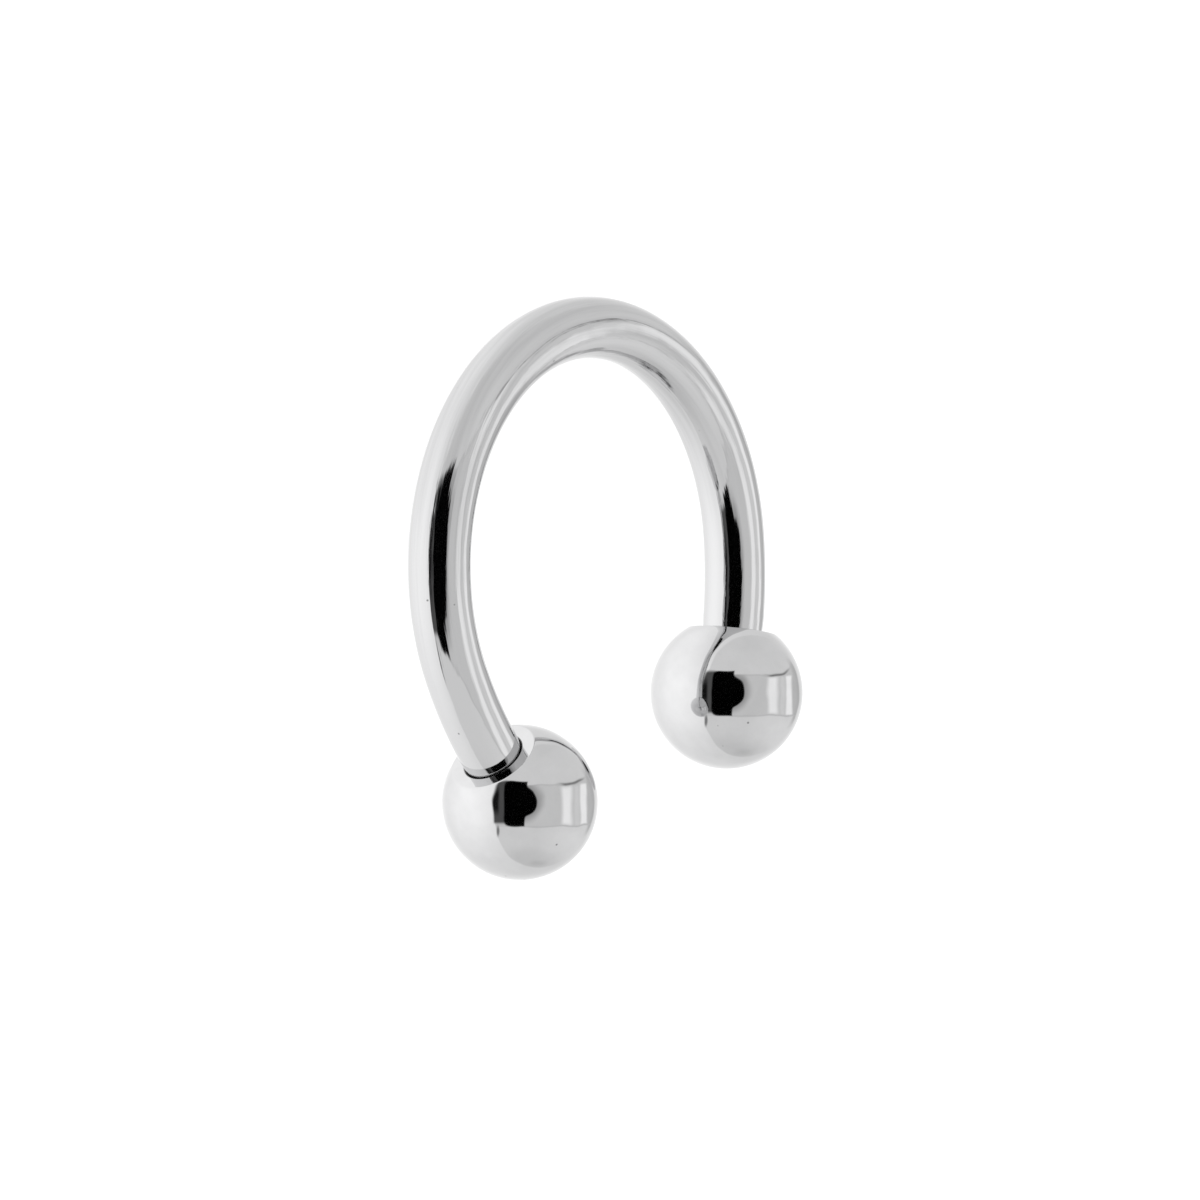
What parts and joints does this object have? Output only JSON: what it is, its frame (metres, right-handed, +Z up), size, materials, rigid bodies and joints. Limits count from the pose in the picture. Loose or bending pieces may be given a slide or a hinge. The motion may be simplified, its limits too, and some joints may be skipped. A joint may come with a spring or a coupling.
{
  "type": "horseshoe barbell",
  "caption": "Polished steel body jewel: a round wire bent to a horseshoe, with a screw-on ball on each end.",
  "frame": {"origin": "on the surface that the barbell lies on, below the centre of the bend", "axes": "+Z up, +Y towards the closed end of the bend, +X towards the right ball; the bar's own plane leans 6.2 degrees about X, because the balls are thicker than the wire and lift its open end"},
  "size_m": [0.0102, 0.0103, 0.003],
  "materials": {
    "bar": "mirror polished surgical steel",
    "balls": "mirror polished surgical steel"
  },
  "bodies": {
    "bar": {"curved_bar": "bar"},
    "left_ball": {"ball_left": "balls"},
    "right_ball": {"ball_right": "balls"}
  },
  "joints": [
    {"name": "ball_left_unscrew", "type": "slide", "parent": "bar", "child": "left_ball", "axis": [0.4289, -0.898, 0.0979], "range_m": [0, 0.0024]},
    {"name": "ball_right_unscrew", "type": "slide", "parent": "bar", "child": "right_ball", "axis": [-0.4289, -0.898, 0.0979], "range_m": [0, 0.0024]}
  ]
}
